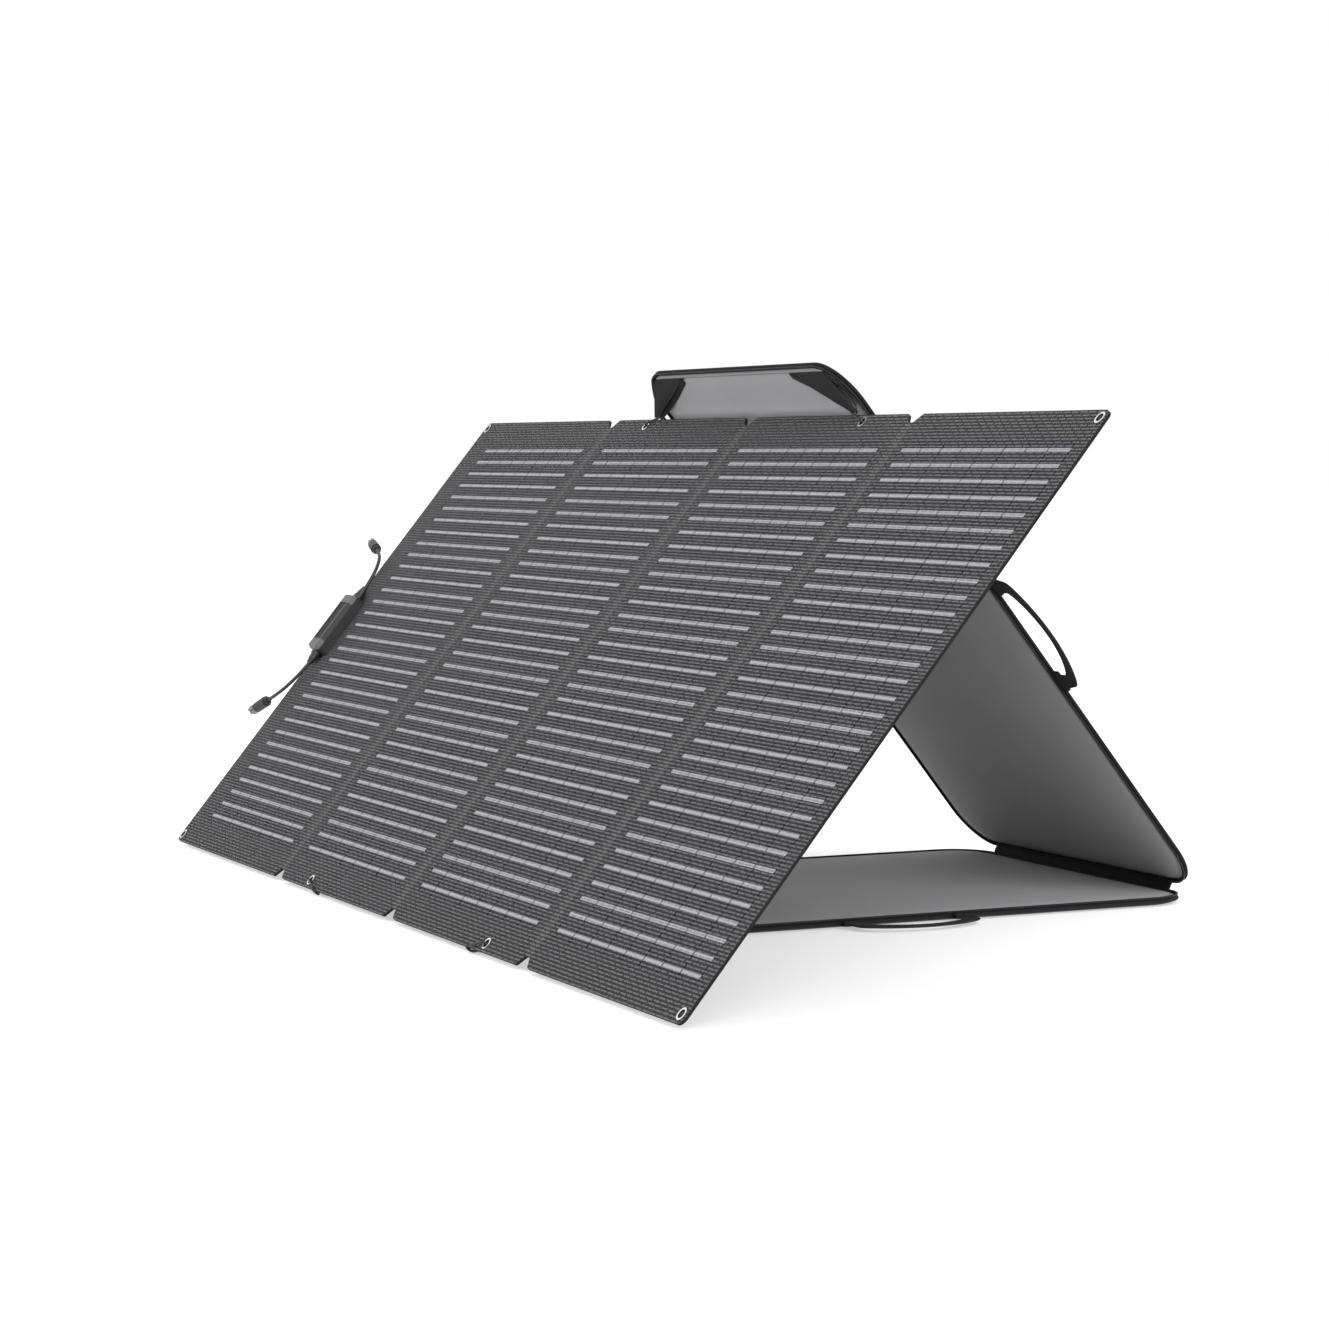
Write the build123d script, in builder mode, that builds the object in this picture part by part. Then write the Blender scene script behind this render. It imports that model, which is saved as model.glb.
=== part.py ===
from build123d import *
import math
import os

# Foldable solar kit: four hinged panel segments, leaning on a folio case that opens into a stand.
# Frame: origin at the middle of the case base's underside, +X along the panel, +Y to the spine, +Z up.
# All lengths are in millimetres and all angles in degrees.

# --- driving dimensions ---------------------------------------------------------------------
panel_length = 1835.0
panel_height = 820.0
panel_thick = 4.0
panel_tilt = 50.86
fold_pitch = 451.0
right_width = 437.6
fold_gap = 12.0
notch_depth = 14.0
notch_mouth = 36.0
notch_round = 5.0
corner_round = 10.0
edge_lift = 7.5

case_width = 596.0
case_length = 885.0
case_round = 65.0
case_tilt = 51.54
spine_gap = 8.0
hinge_height = 12.8
foot_reach = 150.0

cells_across = 8
cell_rows = 4
cell_pitch_x = 48.3
cell_pitch_v = 182.6
cell_gap = 1.1
ribbons_per_row = 8
ribbon_width = 5.0
film_thick = 0.15
film_bond = 0.05
cell_thick = 0.3
ribbon_thick = 0.15
wafer_cut = 7.0

eyelet_inset = 11.5
eyelet_bore = 4.8
eyelet_barrel = 6.2
eyelet_flange = 8.6
flange_thick = 0.7
flange_curl = 0.6
hanger_x = 326.0

wire = 3.4
ring_length = 44.0
ring_radius = 5.8
ring_slant = 0.31

box_x = -921.0
box_v = 410.0
box_length = 104.0
box_width = 40.0
box_height = 22.0
lead_dia = 6.0

# --- derived places -------------------------------------------------------------------------
hinge_y = case_length / 2
foot_y = -case_length / 2 - foot_reach
fold_x = (-fold_pitch, 0.0, fold_pitch)
right_edge = fold_pitch + right_width
left_edge = right_edge - panel_length

tilt = math.radians(panel_tilt)
lean = math.radians(case_tilt)
face_normal = (0, -math.sin(tilt), math.cos(tilt))
panel_plane = Plane(origin=(0, foot_y, edge_lift), x_dir=(1, 0, 0), z_dir=face_normal)
base_plane = Plane(origin=(0, hinge_y, hinge_height), x_dir=(1, 0, 0), z_dir=(0, 0, -1))
back_plane = Plane(
    origin=(0, hinge_y, hinge_height),
    x_dir=(-1, 0, 0),
    z_dir=(0, math.sin(lean), math.cos(lean)),
)

os.makedirs("parts", exist_ok=True)


def save(piece, name):
    piece.label = name
    export_step(piece, "parts/" + name + ".step")


def on_panel(x, v, n=0.0):
    """A point of the tilted panel: x along it, v up the slope, n out of its front face."""
    return panel_plane.from_local_coords(Vector(x, v, n))


# --- panel segments -------------------------------------------------------------------------
def segment_sketch(x_low, x_high, notch_low, notch_high):
    """One segment's outline: rounded corners outside, half a notch beside each fold."""
    slant = (notch_mouth - fold_gap) / 2
    middle = (x_low + x_high) / 2
    width = x_high - x_low
    with BuildSketch(Plane.XY) as outline:
        with Locations((middle, panel_height / 2)):
            Rectangle(width, panel_height)
        for side, notched in ((-1, notch_low), (1, notch_high)):
            edge = outline.edges().filter_by(Axis.Y).sort_by(Axis.X)[0 if side < 0 else -1]
            if not notched:
                fillet(edge.vertices(), corner_round)
                continue
            for corner in edge.vertices():
                edge = outline.edges().filter_by(Axis.Y).sort_by(Axis.X)[0 if side < 0 else -1]
                chamfer(corner, notch_depth, slant, reference=edge)
            edge_x = middle + side * width / 2
            shoulders = outline.vertices().filter_by_position(
                Axis.X, edge_x - side * slant - 0.1, edge_x - side * slant + 0.1
            )
            fillet(shoulders, notch_round)
    return outline.sketch


def eyelet_points(index):
    """Eyelet centres of one segment, as x and v."""
    low, high = eyelet_inset, panel_height - eyelet_inset
    x = (left_edge + eyelet_inset, -hanger_x, hanger_x, right_edge - eyelet_inset)[index]
    return [(x, low), (x, high)]


segments = (
    ("panel_1", left_edge, fold_x[0] - fold_gap / 2, False, True, left_edge + 72.0),
    ("panel_2", fold_x[0] + fold_gap / 2, -fold_gap / 2, True, True, -418.0),
    ("panel_3", fold_gap / 2, fold_x[2] - fold_gap / 2, True, True, 31.0),
    ("panel_4", fold_x[2] + fold_gap / 2, right_edge, True, False, 477.0),
)
board_top = -film_thick - film_bond
bed = board_top - ribbon_thick - cell_thick
wafer_size = (cells_across / 2 * cell_pitch_x - cell_gap, cell_pitch_v - cell_gap)

for index, (name, x_low, x_high, notch_low, notch_high, cells_x) in enumerate(segments):
    shape = segment_sketch(x_low, x_high, notch_low, notch_high)
    holes = eyelet_points(index)
    cells_wide = cells_across * cell_pitch_x
    cells_high = cell_rows * cell_pitch_v
    middle = (cells_x + cells_wide / 2, panel_height / 2)

    # stiff fabric-faced board, with a shallow bed that the cells lie in
    with BuildPart(panel_plane) as board:
        with BuildSketch(panel_plane.offset(-panel_thick)):
            add(shape)
            with Locations(*holes):
                Circle(eyelet_barrel + 0.1, mode=Mode.SUBTRACT)
        extrude(amount=panel_thick + board_top)
        with BuildSketch(panel_plane.offset(bed)):
            with Locations(middle):
                Rectangle(cells_wide + 1, cells_high + 1)
        extrude(amount=board_top - bed, mode=Mode.SUBTRACT)
    save(board.part, name + "_board")

    # clear textured front film over the whole segment
    with BuildPart(panel_plane) as film:
        with BuildSketch(panel_plane.offset(-film_thick)):
            add(shape)
            with Locations(*holes):
                Circle(eyelet_barrel + 0.1, mode=Mode.SUBTRACT)
        extrude(amount=film_thick)
    save(film.part, name + "_film")

    # two wafers a row with cut corners, each sawn into four narrow cells
    with BuildPart(panel_plane) as cells:
        with BuildSketch(panel_plane.offset(bed)) as wafers:
            with Locations(middle):
                with GridLocations(cells_across / 2 * cell_pitch_x, cell_pitch_v, 2, cell_rows):
                    Rectangle(*wafer_size)
            chamfer(wafers.vertices(), wafer_cut)
            with Locations(middle):
                with GridLocations(cell_pitch_x, 1, cells_across - 1, 1):
                    Rectangle(cell_gap, cells_high, mode=Mode.SUBTRACT)
        extrude(amount=cell_thick)
    save(cells.part, name + "_cells")

    # tinned ribbons that join the cells of a row
    with BuildPart(panel_plane) as ribbons:
        with BuildSketch(panel_plane.offset(board_top - ribbon_thick)):
            with Locations(middle):
                pitch = cell_pitch_v / ribbons_per_row
                with GridLocations(0, pitch, 1, ribbons_per_row * cell_rows):
                    Rectangle(cells_wide - cell_gap, ribbon_width)
        extrude(amount=ribbon_thick)
    save(ribbons.part, name + "_ribbons")

    # pressed two-part eyelets at the edge
    with BuildPart() as eyelets:
        for x, v in holes:
            section = Plane(on_panel(x, v), x_dir=(1, 0, 0), z_dir=panel_plane.y_dir.reverse())
            with BuildSketch(section):
                with BuildLine():
                    Polyline(
                        (eyelet_bore, -panel_thick - flange_thick),
                        (eyelet_flange, -panel_thick - flange_thick),
                        (eyelet_flange, -panel_thick),
                        (eyelet_barrel, -panel_thick),
                        (eyelet_barrel, 0),
                        (eyelet_flange, 0),
                        (eyelet_flange - flange_curl, flange_thick),
                        (eyelet_bore + flange_curl, flange_thick),
                        (eyelet_bore, 0),
                        close=True,
                    )
                make_face()
            revolve(axis=Axis(on_panel(x, v), panel_plane.z_dir))
    save(eyelets.part, name + "_eyelets")

# soft hinge strips between the segments
strip_width = fold_gap - 3.0
strip_thick = 1.4
strip_depth = 1.2
for name, x in zip(("fold_left_strip", "fold_mid_strip", "fold_right_strip"), fold_x):
    with BuildPart(panel_plane) as strip:
        with BuildSketch(panel_plane.offset(-strip_depth - strip_thick)):
            with Locations((x, panel_height / 2)):
                SlotOverall(panel_height - 2 * notch_depth, strip_width, rotation=90)
        extrude(amount=strip_thick)
    save(strip.part, name)

# --- junction box on the left segment -------------------------------------------------------
box_plane = Plane(on_panel(box_x, box_v), x_dir=(1, 0, 0), z_dir=face_normal)
lid_split = 15.0
lid_slope = 22.0
wall = 2.0
box_round = 5.0
plate_depth = 1.6
plate_thick = 0.8
plate_width = box_width - 14.0
plate_length = box_length - 34.0
gland_height = 8.0
gland_neck = 5.0
gland_nut = 8.0
gland_collar = 6.6
gland_mouth = 4.2
gland_bore = 1.5
gland_reach = 22.0

with BuildPart(box_plane) as box_base:
    with BuildSketch(box_plane):
        RectangleRounded(box_width, box_length, box_round)
    extrude(amount=lid_split)
    with BuildSketch(box_plane.offset(wall)):
        RectangleRounded(box_width - 2 * wall, box_length - 2 * wall, box_round - wall)
    extrude(amount=lid_split, mode=Mode.SUBTRACT)
    low_end = box_plane.from_local_coords(Vector(0, -box_length / 2 - 1, gland_height))
    with BuildSketch(Plane(low_end, z_dir=panel_plane.y_dir)):
        Circle(gland_neck + 0.05)
    extrude(amount=box_length + 2, mode=Mode.SUBTRACT)
save(box_base.part, "junction_box_base")

with BuildPart(box_plane) as box_lid:
    with BuildSketch(box_plane.offset(lid_split)):
        RectangleRounded(box_width, box_length, box_round)
    extrude(amount=box_height - lid_split, taper=lid_slope)
    with BuildSketch(box_plane.offset(box_height)):
        Rectangle(plate_width, plate_length)
    extrude(amount=-plate_depth, mode=Mode.SUBTRACT)
    with BuildSketch(box_plane.offset(lid_split)):
        RectangleRounded(box_width - 4 * wall, box_length - 4 * wall, box_round - wall)
    extrude(amount=box_height - lid_split - plate_depth - wall, mode=Mode.SUBTRACT)
save(box_lid.part, "junction_box_lid")

with BuildPart(box_plane) as cover_plate:
    with BuildSketch(box_plane.offset(box_height - plate_depth)):
        Rectangle(plate_width - 0.4, plate_length - 0.4)
    extrude(amount=plate_thick)
save(cover_plate.part, "junction_box_plate")

# potting with three diodes standing out of it, inside the box
potting = 6.0
diode_pitch = 20.0
diode_size = (16.0, 9.0)
diode_thick = 4.0
with BuildPart(box_plane) as diode_block:
    with BuildSketch(box_plane.offset(wall)):
        Rectangle(plate_width, plate_length)
    extrude(amount=potting)
    with BuildSketch(box_plane.offset(wall + potting)):
        with GridLocations(0, diode_pitch, 1, 3):
            Rectangle(*diode_size)
    extrude(amount=diode_thick)
save(diode_block.part, "diode_block")

with BuildPart() as glands:
    for side in (-1, 1):
        start = box_plane.from_local_coords(Vector(0, side * (box_length / 2 - wall), gland_height))
        with BuildSketch(Plane(start, x_dir=(1, 0, 0), z_dir=face_normal)):
            with BuildLine():
                Polyline(
                    (gland_bore, 0),
                    (gland_neck, 0),
                    (gland_neck, side * wall),
                    (gland_nut, side * (wall + 0.05)),
                    (gland_nut, side * (wall + 6.0)),
                    (gland_collar, side * (wall + 7.0)),
                    (gland_collar, side * (wall + 11.0)),
                    (gland_mouth, side * (wall + gland_reach)),
                    (gland_bore, side * (wall + gland_reach)),
                    close=True,
                )
            make_face()
        revolve(axis=Axis(start, panel_plane.y_dir))
save(glands.part, "cable_glands")

# --- leads and connectors -------------------------------------------------------------------
lead_radius = lead_dia / 2 - 0.25
boot_length = 6.0
boot_flare = 18.0
nut_radius = 8.4
nut_length = 14.0
barrel_radius = 8.2
barrel_length = 18.0
tip_size = (13.0, 12.0)
tip_length = 16.0
key_size = (4.4, 3.0)
key_pitch = 14.5
socket_radius = 3.6
socket_depth = 10.0
end_v = box_length / 2 + gland_reach
lead_routes = {
    "lead_upper": [
        (box_x, box_v + end_v, gland_height),
        (box_x - 1.5, box_v + end_v + 22, gland_height + 1),
        (box_x - 13, box_v + end_v + 46, gland_height + 3),
        (box_x - 37, box_v + end_v + 63, gland_height + 3),
        (box_x - 72, box_v + end_v + 72, gland_height + 1),
    ],
    "lead_lower": [
        (box_x, box_v - end_v, gland_height),
        (box_x - 1.5, box_v - end_v - 22, gland_height + 1),
        (box_x - 11, box_v - end_v - 44, gland_height + 2),
        (box_x - 31, box_v - end_v - 62, gland_height + 1),
        (box_x - 62, box_v - end_v - 75, gland_height - 2),
    ],
}


def turn_radii(points):
    """Each corner's radius: 0.45 of the shorter run over the tangent of half the turn."""
    radii = []
    for before, here, after in zip(points, points[1:], points[2:]):
        one, two = here - before, after - here
        half = math.radians(one.get_angle(two)) / 2
        radii.append(0.45 * min(one.length, two.length) / math.tan(half))
    return radii


for name, route in lead_routes.items():
    points = [on_panel(*p) for p in route]
    radii = turn_radii(points)
    with BuildLine() as path:
        FilletPolyline(*points, radius=radii)
    run = path.wires()[0]
    with BuildPart() as lead:
        with BuildSketch(Plane(points[0], z_dir=points[1] - points[0])):
            Circle(lead_radius)
        sweep(path=run)
    save(lead.part, name)
    share = lead.part.volume / (math.pi * lead_radius**2 * run.length)
    print(name, "length", round(run.length, 1), "volume share", round(share, 4))
    print(name, "radii", [round(r, 1) for r in radii])

    # nut, ribbed barrel and keyed tip of the connector on the lead's end
    direction = (points[-1] - points[-2]).normalized()
    nose = Plane(points[-1], z_dir=direction)
    with BuildPart(nose) as connector:
        with BuildSketch(nose):
            Circle(barrel_radius - 3)
        extrude(amount=boot_length, taper=-boot_flare)
        with BuildSketch(nose.offset(boot_length)):
            RegularPolygon(nut_radius, 10)
        extrude(amount=nut_length)
        with BuildSketch(nose.offset(boot_length + nut_length)):
            Circle(barrel_radius)
        extrude(amount=barrel_length)
        with BuildSketch(nose.offset(boot_length + nut_length + barrel_length)):
            RectangleRounded(*tip_size, 2.5)
            with GridLocations(0, key_pitch, 1, 2):
                Rectangle(*key_size)
        extrude(amount=tip_length)
        with BuildSketch(nose.offset(boot_length + nut_length + barrel_length + tip_length)):
            Circle(socket_radius)
        extrude(amount=-socket_depth, mode=Mode.SUBTRACT)
    save(connector.part, name.replace("lead", "connector"))

# --- folio case -----------------------------------------------------------------------------
piping_radius = 2.5
piping_depth = 6.5
shell_inset = 2 * piping_radius + 0.2
shell_wall = 3.0
shell_outside = hinge_height
shell_inside = shell_outside - shell_wall
shell_rim = 4.2
core_thick = 3.5
lining_face = 0.8
cover_round = 2.0
lining_round = 3.0


def board_outline(inset):
    """The rounded outline of a case board, drawn in by inset."""
    length = case_length - spine_gap
    with BuildSketch(Plane.XY) as outline:
        with Locations((0, spine_gap + length / 2)):
            RectangleRounded(case_width - 2 * inset, length - 2 * inset, case_round - inset)
    return outline.sketch


for name, plane in (("base", base_plane), ("back", back_plane)):
    # fabric-covered outer tray
    with BuildPart(plane) as shell:
        with BuildSketch(plane.offset(shell_rim)):
            add(board_outline(shell_inset))
        extrude(amount=shell_outside - shell_rim)
        with BuildSketch(plane.offset(shell_rim)):
            add(board_outline(shell_inset + shell_wall))
        extrude(amount=shell_inside - shell_rim, mode=Mode.SUBTRACT)
        fillet(shell.faces().sort_by(Axis(plane.origin, plane.z_dir))[-1].edges(), cover_round)
    save(shell.part, name + "_shell")

    # stiffening board inside the tray
    with BuildPart(plane) as core:
        with BuildSketch(plane.offset(shell_inside - core_thick)):
            add(board_outline(shell_inset + shell_wall))
        extrude(amount=core_thick)
    save(core.part, name + "_core")

    # padded lining, rounded over at its edge
    with BuildPart(plane) as lining:
        with BuildSketch(plane.offset(lining_face)):
            add(board_outline(shell_inset + shell_wall))
        extrude(amount=shell_inside - core_thick - lining_face)
        fillet(lining.faces().sort_by(Axis(plane.origin, plane.z_dir))[0].edges(), lining_round)
    save(lining.part, name + "_lining")

    # zipper edge: a round cord of piping all the way round
    with BuildSketch(plane.offset(piping_depth)) as rail:
        add(board_outline(piping_radius))
    loop = rail.sketch.wires()[0]
    with BuildPart() as piping:
        with BuildSketch(Plane(loop @ 0, z_dir=loop % 0)):
            Circle(piping_radius)
        sweep(path=loop)
    save(piping.part, name + "_piping")

# soft spine between the two boards, carried by the base: a flat root that swells out past the hinge
spine_root = hinge_y - spine_gap + 0.3
spine_low = 1.0
spine_high = 10.0
spine_swell = 5.0
with BuildPart() as spine:
    with BuildSketch(Plane.YZ.offset(-case_width / 2 + case_round)):
        with BuildLine():
            Line((spine_root, spine_high), (spine_root, spine_low))
            Line((spine_root, spine_low), (hinge_y - 2, spine_low))
            ThreePointArc(
                (hinge_y - 2, spine_low),
                (hinge_y + spine_swell, spine_high / 2),
                (hinge_y, spine_high),
            )
            Line((hinge_y, spine_high), (spine_root, spine_high))
        make_face()
    extrude(amount=case_width - 2 * case_round)
save(spine.part, "spine")

# --- carry handles on the near long edges ---------------------------------------------------
handle_low = 352.0
handle_high = 536.0
handle_shoulder = 30.0
handle_bow = 56.0
handle_band = 11.0
handle_slant = 6.0
handle_thick = 3.5
handle_axis = case_width / 2 + 8.0
handle_mid = (handle_low + handle_high) / 2
anchor_length = 24.0
tab_width = 5.6
tab_offset = 3.0
tab_low = 2.0
tab_high = 11.0

for name, plane, side in (("base", base_plane, 1), ("back", back_plane, -1)):
    with BuildPart(plane) as handle:
        with BuildSketch(plane.offset(piping_depth - handle_thick / 2)):
            with BuildLine():
                x = side * handle_axis
                out = side * (handle_axis + handle_shoulder)
                inside = side * (handle_axis + handle_shoulder - handle_band)
                peak = side * (handle_axis + handle_bow)
                inner_peak = side * (handle_axis + handle_bow - handle_band)
                ends = (
                    (handle_low + handle_slant, handle_low + anchor_length),
                    (handle_high - handle_slant, handle_high - anchor_length),
                )
                Line((x, handle_low), (out, ends[0][0]))
                ThreePointArc((out, ends[0][0]), (peak, handle_mid), (out, ends[1][0]))
                Line((out, ends[1][0]), (x, handle_high))
                Line((x, handle_high), (x, ends[1][1]))
                Line((x, ends[1][1]), (inside, ends[1][1]))
                ThreePointArc((inside, ends[1][1]), (inner_peak, handle_mid), (inside, ends[0][1]))
                Line((inside, ends[0][1]), (x, ends[0][1]))
                Line((x, ends[0][1]), (x, handle_low))
            make_face()
        extrude(amount=handle_thick)
        fillet(handle.edges().filter_by(Axis(plane.origin, plane.z_dir)), 3.0)
        for low in (handle_low, handle_high - anchor_length):
            end = plane.from_local_coords(Vector(side * handle_axis, low, piping_depth))
            with BuildSketch(Plane(end, z_dir=plane.y_dir)):
                Circle(handle_thick / 2)
            extrude(amount=anchor_length)
    save(handle.part, name + "_handle")

    # stitched anchor loops that the handle's ends turn in
    with BuildPart(plane) as anchors:
        with BuildSketch(plane.offset(tab_low)):
            for low in (handle_low, handle_high - anchor_length):
                with Locations((side * (case_width / 2 + tab_offset), low + anchor_length / 2)):
                    RectangleRounded(tab_width, anchor_length + 10, 1.5)
        extrude(amount=tab_high - tab_low)
    save(anchors.part, name + "_handle_anchors")

# --- zipper slider and pull on the far edge of the base -------------------------------------
slider_s = 88.0
slider_length = 14.0
slider_width = 8.0
slider_taper = 76.0
slider_x = -case_width / 2 - 4.4
pull_x = -case_width / 2 - 5.0
pull_length = 44.0
pull_width = 6.0
pull_thick = 1.6
with BuildPart(base_plane) as slider:
    with BuildSketch(base_plane.offset(piping_depth - slider_width / 2)):
        with Locations((slider_x, slider_s)):
            Trapezoid(slider_length, slider_width, slider_taper, rotation=90)
    extrude(amount=slider_width)
save(slider.part, "zipper_slider")

with BuildPart(base_plane) as pull:
    with BuildSketch(base_plane.offset(piping_depth - pull_thick / 2)):
        with Locations((pull_x, slider_s - slider_length / 2 - pull_length / 2 - 2)):
            SlotOverall(pull_length, pull_width, rotation=90)
        with Locations((pull_x, slider_s - slider_length / 2 - pull_length + 3)):
            Circle(1.6, mode=Mode.SUBTRACT)
    extrude(amount=pull_thick)
save(pull.part, "zipper_pull")

# --- hanger flaps and straps ----------------------------------------------------------------
flap_thick = 1.6
hem_s = case_length - shell_inset - shell_wall - 4
apex_s = 818.0
flap_fall = 8.3
flap_drop = math.degrees(math.atan2(flap_fall, hem_s - apex_s))
hem_x = (160.0, 252.0)
apex_x = (288.0, 304.0)

with BuildPart() as flaps:
    for side in (-1, 1):
        hem = Plane(
            back_plane.from_local_coords(Vector(0, hem_s, lining_face - 0.02)),
            x_dir=back_plane.x_dir,
            z_dir=back_plane.z_dir,
        )
        hanging = hem.rotated((-flap_drop, 0, 0))
        with BuildSketch(hanging.offset(-flap_thick)):
            with BuildLine():
                Polyline(
                    (side * hem_x[0], 0),
                    (side * hem_x[1], 0),
                    (side * apex_x[1], apex_s - hem_s),
                    (side * apex_x[0], apex_s - hem_s),
                    close=True,
                )
            make_face()
        extrude(amount=flap_thick)
save(flaps.part, "hanger_flaps")

# webbing that backs each flap, laid on the lining beside it
webbing_thick = 1.2
webbing_width = 12.0
root_x = 257.0
tip_x = 273.0
with BuildPart(back_plane) as webbing:
    with BuildSketch(back_plane.offset(lining_face - webbing_thick)):
        for side in (-1, 1):
            with BuildLine():
                Polyline(
                    (side * root_x, hem_s - 14),
                    (side * (root_x + webbing_width), hem_s - 14),
                    (side * (tip_x + webbing_width), apex_s + 2),
                    (side * tip_x, apex_s + 2),
                    close=True,
                )
            make_face()
    extrude(amount=webbing_thick)
save(webbing.part, "hanger_webbing")

# webbing straps on the ground, from the base's front edge to the lower carabiners
strap_width = 20.0
strap_thick = 1.6
strap_x = 284.0
strap_end = foot_y + 12.0
strap_root = -case_length / 2 + shell_inset - 0.3
strap_lift = 0.2
tail_length = 18.0
with BuildPart() as straps:
    for side in (-1, 1):
        with Locations((side * strap_x, (strap_end + strap_root) / 2, strap_lift + strap_thick / 2)):
            Box(strap_width, strap_root - strap_end, strap_thick)
        with Locations((side * strap_x, strap_end + tail_length / 2, strap_lift + strap_thick)):
            Box(strap_width, tail_length, 2 * strap_thick)
save(straps.part, "bottom_straps")

# --- carabiners through the four hanger eyelets ---------------------------------------------
gate_pivot = ring_length - 8.0
gate_tip = 14.0
gate_wire = 3.0
gate_lap = 1.5
corners = (
    ("top_left", -1, 1),
    ("top_right", 1, 1),
    ("bottom_left", -1, -1),
    ("bottom_right", 1, -1),
)
for name, side, end in corners:
    hole_v = panel_height / 2 + end * (panel_height / 2 - eyelet_inset)
    centre = on_panel(side * hanger_x, hole_v, -panel_thick / 2)
    reach_x = side * (hanger_x - math.sqrt(1 - ring_slant**2))
    along = on_panel(reach_x, hole_v + end * ring_slant, -panel_thick / 2)
    ring = Plane(centre, x_dir=along - centre, z_dir=(along - centre).cross(Vector(*face_normal)))
    far = ring_length - ring_radius

    # open frame of round rod, bent into a long loop
    with BuildPart() as frame:
        with BuildLine(ring) as loop:
            Line((gate_pivot + 1.9, ring_radius), (far, ring_radius))
            ThreePointArc((far, ring_radius), (ring_length, 0), (far, -ring_radius))
            Line((far, -ring_radius), (ring_radius, -ring_radius))
            ThreePointArc((ring_radius, -ring_radius), (0, 0), (ring_radius, ring_radius))
            Line((ring_radius, ring_radius), (gate_tip - 1.9, ring_radius))
        rod = loop.wires()[0]
        with BuildSketch(Plane(rod @ 0, z_dir=rod % 0)):
            Circle(wire / 2)
        sweep(path=rod)
    save(frame.part, "carabiner_" + name)

    # straight gate between the frame's two ends
    with BuildPart() as gate:
        start = ring.from_local_coords(Vector(gate_tip - gate_lap, ring_radius, 0))
        with BuildSketch(Plane(start, z_dir=ring.x_dir)):
            Circle(gate_wire / 2)
        extrude(amount=gate_pivot - gate_tip + 2 * gate_lap)
        chamfer(gate.edges(), 1.0)
    save(gate.part, "gate_" + name)
    pivot = ring.from_local_coords(Vector(gate_pivot, ring_radius, 0))
    print("gate", name, "pivot", pivot, "axis", ring.z_dir)

# places that the joints and mounts need
print("top pivot", on_panel(0, panel_height - eyelet_inset, -panel_thick / 2))
print("fold axes at", on_panel(0, 0, 0.6), "along", panel_plane.y_dir)
for x, v in eyelet_points(0) + eyelet_points(3):
    print("corner eyelet", on_panel(x, v, -panel_thick / 2))
for name, plane, side in (("base", base_plane, 1), ("back", back_plane, -1)):
    axis_point = Vector(side * handle_axis, handle_mid, piping_depth)
    print(name, "handle axis", plane.from_local_coords(axis_point))
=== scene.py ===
import math

import bmesh
import bpy
import numpy as np
from mathutils import Euler, Matrix, Vector


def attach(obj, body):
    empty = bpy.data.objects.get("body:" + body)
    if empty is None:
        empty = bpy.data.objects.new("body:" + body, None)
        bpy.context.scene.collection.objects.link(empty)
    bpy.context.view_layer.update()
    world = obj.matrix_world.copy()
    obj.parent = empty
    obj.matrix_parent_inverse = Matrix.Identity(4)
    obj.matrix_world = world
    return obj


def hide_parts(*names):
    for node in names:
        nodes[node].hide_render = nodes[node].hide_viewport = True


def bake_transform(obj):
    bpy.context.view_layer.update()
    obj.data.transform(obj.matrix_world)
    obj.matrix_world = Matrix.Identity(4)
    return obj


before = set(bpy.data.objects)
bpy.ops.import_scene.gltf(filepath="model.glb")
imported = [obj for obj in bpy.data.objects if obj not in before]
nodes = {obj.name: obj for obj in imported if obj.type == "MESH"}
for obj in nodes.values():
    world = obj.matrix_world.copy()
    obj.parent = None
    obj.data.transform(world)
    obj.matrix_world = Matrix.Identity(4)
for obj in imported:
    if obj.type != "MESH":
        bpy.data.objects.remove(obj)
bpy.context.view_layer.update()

kit = {  # metres and degrees: the planes that every piece is laid on
    "panelTilt": 50.86, "footY": -0.5925, "edgeLift": 0.0075,
    "caseTilt": 51.54, "hingeY": 0.4425, "hingeHeight": 0.0128,
    "panelHeight": 0.820, "folds": (-0.451, 0.0, 0.451), "notchDepth": 0.014,
}
tilt = math.radians(kit["panelTilt"])
lean = math.radians(kit["caseTilt"])


def unit(vectors):
    return vectors / np.linalg.norm(vectors, axis=-1, keepdims=True)


def onPanel(x, v, n):  # x along the panel, v up its slope, n out of its front face
    x, v, n = np.broadcast_arrays(x, v, n)
    y = kit["footY"] + v * math.cos(tilt) - n * math.sin(tilt)
    z = kit["edgeLift"] + v * math.sin(tilt) + n * math.cos(tilt)
    return np.stack((x, y, z), -1)


def onBack(x, s, z):  # x across the back board, s up it from the hinge, z out of its outer face
    x, s, z = np.broadcast_arrays(x, s, z)
    y = kit["hingeY"] - s * math.cos(lean) + z * math.sin(lean)
    return np.stack((x, y, kit["hingeHeight"] + s * math.sin(lean) + z * math.cos(lean)), -1)


def onBase(x, s, z):  # x across the base board, s forward from the hinge, z down through it
    x, s, z = np.broadcast_arrays(x, s, z)
    return np.stack((x, kit["hingeY"] - s, kit["hingeHeight"] - z), -1)


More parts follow.
